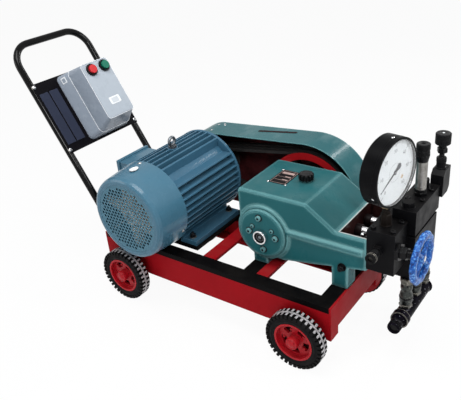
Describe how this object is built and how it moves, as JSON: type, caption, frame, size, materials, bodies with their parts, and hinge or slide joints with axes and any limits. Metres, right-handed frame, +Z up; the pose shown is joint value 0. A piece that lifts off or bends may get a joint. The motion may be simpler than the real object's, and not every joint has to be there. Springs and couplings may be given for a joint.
{
  "type": "hydrostatic test pump",
  "caption": "Wheeled electric hydrostatic test pump: belt-driven plunger pump with gauge, valves, motor and starter box on a push trolley.",
  "frame": {"origin": "centre of the bounding box on the ground, under the trolley", "axes": "+X towards the pump head, +Z up, +Y towards the belt guard"},
  "size_m": [1.158, 0.452, 0.6797],
  "materials": {
    "red_paint": "gloss",
    "black_paint": "satin",
    "blue_paint": "satin",
    "teal_paint": "satin",
    "wheel_red": "gloss",
    "tyre_rubber": "matt",
    "belt_rubber": "matt",
    "steel": "satin",
    "black_steel": "satin",
    "grey_plastic": "satin",
    "red_plastic": "gloss",
    "green_plastic": "gloss",
    "black_plastic": "matt",
    "blue_wheel": "gloss",
    "clear_glass": "gloss",
    "brass": "satin",
    "cast_iron": "matt"
  },
  "bodies": {
    "trolley": {"side_rail_near": "red_paint", "side_rail_far": "red_paint", "deck_frame": "black_paint", "front_beam": "red_paint", "rear_beam": "red_paint", "red_cross_bars": "red_paint", "front_axle": "steel", "rear_axle": "steel", "handle": "black_paint", "handle_panel": "black_paint", "starter_box": "grey_plastic", "motor_base": "black_paint", "motor_frame": "blue_paint", "fan_cowl": "blue_paint", "cowl_grille": "blue_paint", "drive_end_shield": "blue_paint", "terminal_box": "blue_paint", "lifting_eye": "steel", "drive_belts": "belt_rubber", "belt_guard": "teal_paint", "crankcase": "teal_paint", "bearing_cover": "teal_paint", "sight_glass": "steel", "oil_filler_cap": "black_plastic", "plungers": "steel", "head_block": "black_steel", "valve_block": "black_steel", "lower_block": "black_steel", "gauge_fitting": "brass", "gauge_case": "black_steel", "gauge_glass": "clear_glass", "relief_valve": "steel", "stop_valve_bonnet": "black_steel", "adjusting_valve": "black_steel", "suction_manifold": "black_steel"},
    "front_wheel_near": {"front_wheel_near_hub": "wheel_red", "front_wheel_near_tyre": "tyre_rubber"},
    "front_wheel_far": {"front_wheel_far_hub": "wheel_red", "front_wheel_far_tyre": "tyre_rubber"},
    "rear_wheel_near": {"rear_wheel_near_hub": "wheel_red", "rear_wheel_near_tyre": "tyre_rubber"},
    "rear_wheel_far": {"rear_wheel_far_hub": "wheel_red", "rear_wheel_far_tyre": "tyre_rubber"},
    "pump_rotor": {"pump_pulley": "red_paint"},
    "drive_rotor": {"motor_rotor": "steel", "motor_pulley": "cast_iron"},
    "handwheel": {"handwheel": "blue_wheel"},
    "adjusting_knob": {"adjusting_knob": "black_plastic"},
    "gauge_pointer": {"gauge_pointer": "black_plastic"},
    "stop_button": {"stop_button": "red_plastic"},
    "start_button": {"start_button": "green_plastic"}
  },
  "joints": [
    {"name": "front_wheel_near_spin", "type": "hinge", "parent": "trolley", "child": "front_wheel_near", "pos_m": [0.336, -0.02, 0.075], "axis": [0, 1, 0], "continuous": true},
    {"name": "front_wheel_far_spin", "type": "hinge", "parent": "trolley", "child": "front_wheel_far", "pos_m": [0.336, -0.02, 0.075], "axis": [0, 1, 0], "continuous": true},
    {"name": "rear_wheel_near_spin", "type": "hinge", "parent": "trolley", "child": "rear_wheel_near", "pos_m": [-0.213, -0.02, 0.075], "axis": [0, 1, 0], "continuous": true},
    {"name": "rear_wheel_far_spin", "type": "hinge", "parent": "trolley", "child": "rear_wheel_far", "pos_m": [-0.213, -0.02, 0.075], "axis": [0, 1, 0], "continuous": true},
    {"name": "pump_spin", "type": "hinge", "parent": "trolley", "child": "pump_rotor", "pos_m": [0.186, 0.176, 0.262], "axis": [0, 1, 0], "continuous": true},
    {"name": "motor_spin", "type": "hinge", "parent": "trolley", "child": "drive_rotor", "pos_m": [-0.129, 0.176, 0.29], "axis": [0, 1, 0], "continuous": true},
    {"name": "handwheel_turn", "type": "hinge", "parent": "trolley", "child": "handwheel", "pos_m": [0.571, -0.056, 0.297], "axis": [1, 0, 0], "range_deg": [0, 1080]},
    {"name": "knob_turn", "type": "hinge", "parent": "trolley", "child": "adjusting_knob", "pos_m": [0.526, 0.167, 0.45], "axis": [0, 0, 1], "range_deg": [0, 1080]},
    {"name": "pointer_turn", "type": "hinge", "parent": "trolley", "child": "gauge_pointer", "pos_m": [0.4948, -0.03742, 0.472], "axis": [-0.986, 0.1668, 0], "range_deg": [0, 270], "stiffness_Nm_per_rad": 0.002, "springref_deg": -22.92},
    {"name": "stop_button_press", "type": "slide", "parent": "trolley", "child": "stop_button", "axis": [0.8613, 0, 0.5081], "range_m": [-0.003, 0], "stiffness_N_per_m": 400, "springref_m": 0.002},
    {"name": "start_button_press", "type": "slide", "parent": "trolley", "child": "start_button", "axis": [0.8613, 0, 0.5081], "range_m": [-0.003, 0], "stiffness_N_per_m": 400, "springref_m": 0.002}
  ],
  "couplings": [
    {"joint": "motor_spin", "follows": "pump_spin", "ratio": 2.5556}
  ]
}
